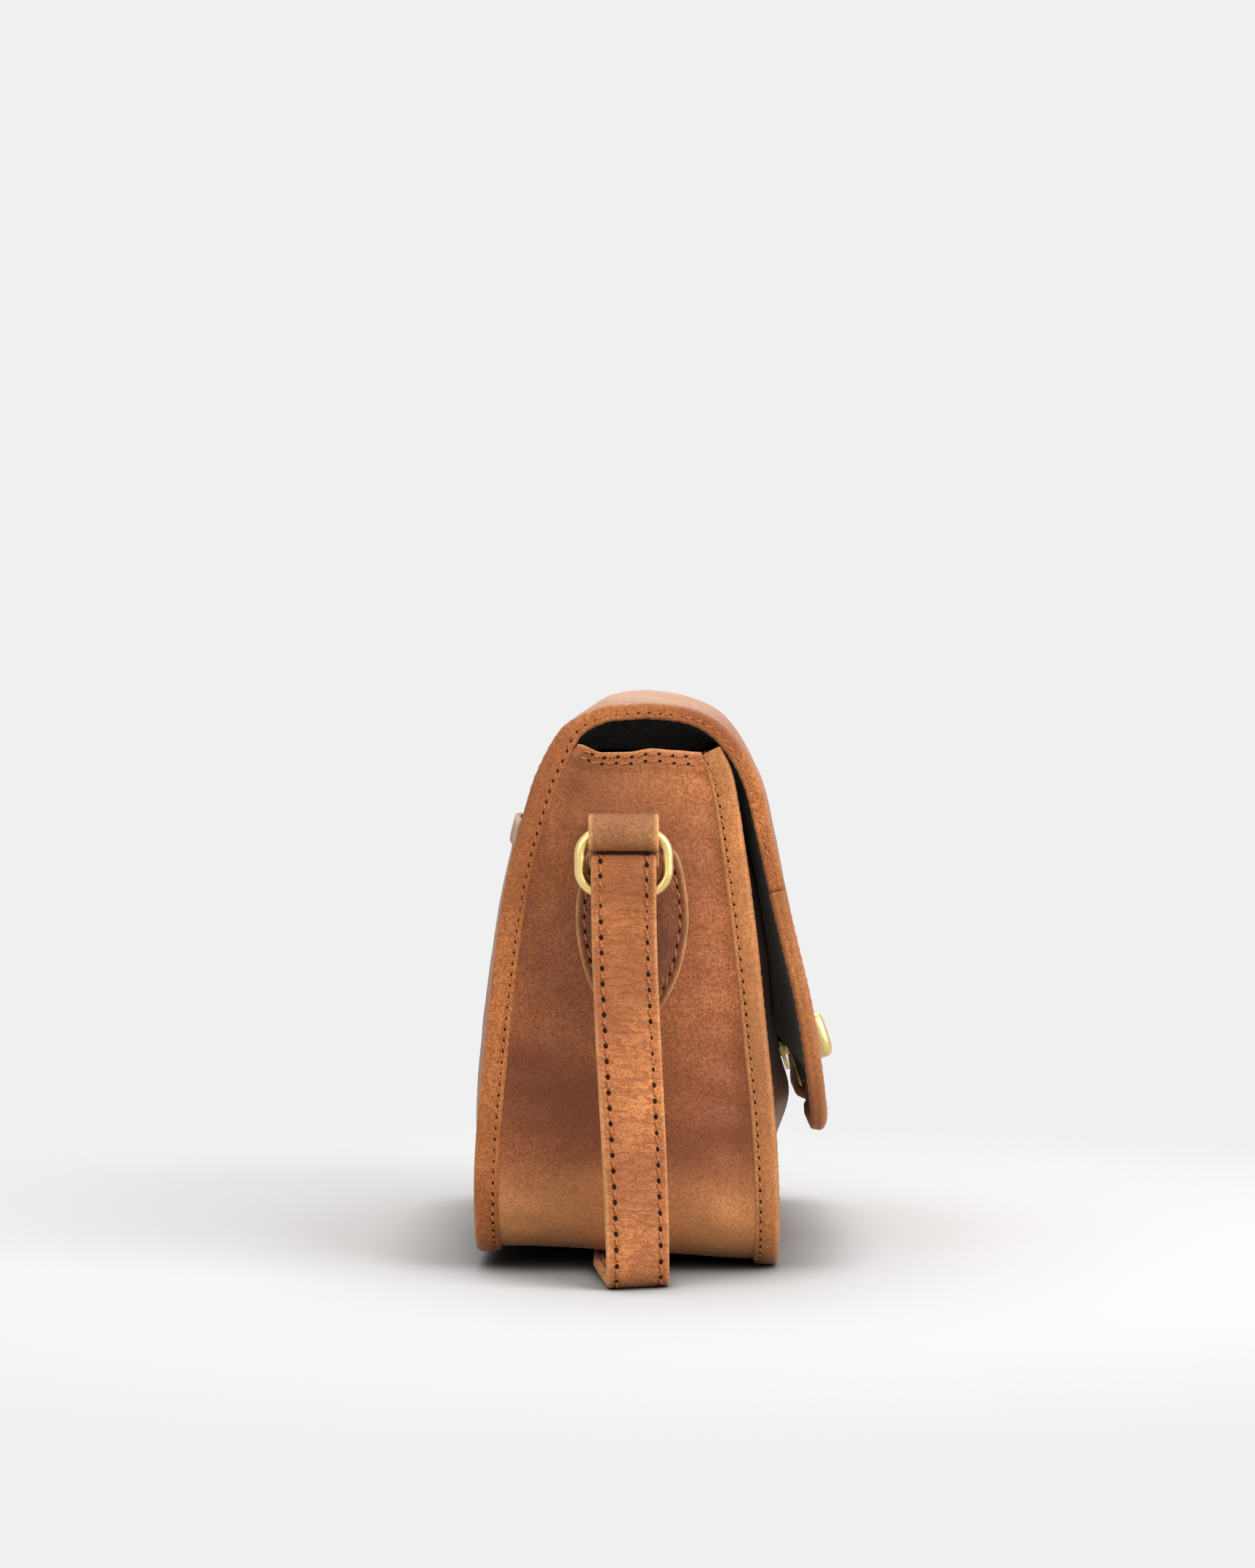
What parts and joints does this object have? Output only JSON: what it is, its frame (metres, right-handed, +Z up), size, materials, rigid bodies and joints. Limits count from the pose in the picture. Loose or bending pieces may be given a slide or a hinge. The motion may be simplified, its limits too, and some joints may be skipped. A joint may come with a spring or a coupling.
{
  "type": "crossbody bag",
  "caption": "Small flap bag in tan leather with rolled bindings, side gusset, turn lock, side rings and a flat shoulder strap tucked under it.",
  "frame": {"origin": "bottom centre of the bag's body, on the surface it stands on", "axes": "+Z up, the flap and the front face -Y, the length runs along X"},
  "size_m": [0.3888, 0.1342, 0.2024],
  "materials": {
    "tan_leather": "waxed pull-up, worn",
    "strap_leather": "waxed, wrinkled",
    "flap_inner_skin": "matt",
    "body_lining": "woven",
    "satin_brass": "satin",
    "plated_steel": "plated"
  },
  "bodies": {
    "bag": {"back_binding": "tan_leather", "back_panel": "tan_leather", "back_pocket": "tan_leather", "back_pocket_hem": "tan_leather", "buckle_frame": "satin_brass", "front_binding": "tan_leather", "front_panel": "tan_leather", "gusset": "tan_leather", "lining": "body_lining", "lock_backing_plate": "plated_steel", "lock_base_plate": "satin_brass", "ring_tab_left": "tan_leather", "ring_tab_right": "tan_leather", "strap_keeper": "strap_leather", "strap_long": "strap_leather", "strap_near_drop": "strap_leather", "strap_short": "strap_leather", "toggle_spring_washer": "plated_steel"},
    "flap": {"flap": "tan_leather", "flap_lining": "flap_inner_skin", "flap_binding_front": "tan_leather", "flap_binding_left": "tan_leather", "flap_binding_right": "tan_leather", "eyelet_front_plate": "satin_brass", "eyelet_back_plate": "satin_brass", "eyelet_screw_upper": "satin_brass", "eyelet_screw_lower": "satin_brass"},
    "toggle": {"toggle": "satin_brass", "toggle_retaining_ring": "satin_brass"},
    "ring_left": {"ring_left": "satin_brass"},
    "ring_right": {"ring_right": "satin_brass"},
    "prong": {"buckle_prong": "satin_brass"}
  },
  "joints": [
    {"name": "flap_hinge", "type": "hinge", "parent": "bag", "child": "flap", "pos_m": [0, 0.02393, 0.19114], "axis": [-1, 0, 0], "range_deg": [0, 150]},
    {"name": "toggle_turn", "type": "hinge", "parent": "bag", "child": "toggle", "pos_m": [0, -0.05601, 0.0693], "axis": [0, -0.9511, 0.309], "range_deg": [0, 90]},
    {"name": "ring_swing_left", "type": "hinge", "parent": "bag", "child": "ring_left", "pos_m": [-0.13955, 0.0008, 0.1525], "axis": [0, 1, 0], "range_deg": [0, 75], "deforming": ["strap_near_drop"]},
    {"name": "ring_swing_right", "type": "hinge", "parent": "bag", "child": "ring_right", "pos_m": [0.13955, 0.0008, 0.1525], "axis": [0, -1, 0], "range_deg": [0, 75], "deforming": ["strap_short"]},
    {"name": "prong_lift", "type": "hinge", "parent": "bag", "child": "prong", "pos_m": [0.13955, 0.0008, 0.072], "axis": [0, -1, 0], "range_deg": [0, 12]}
  ]
}
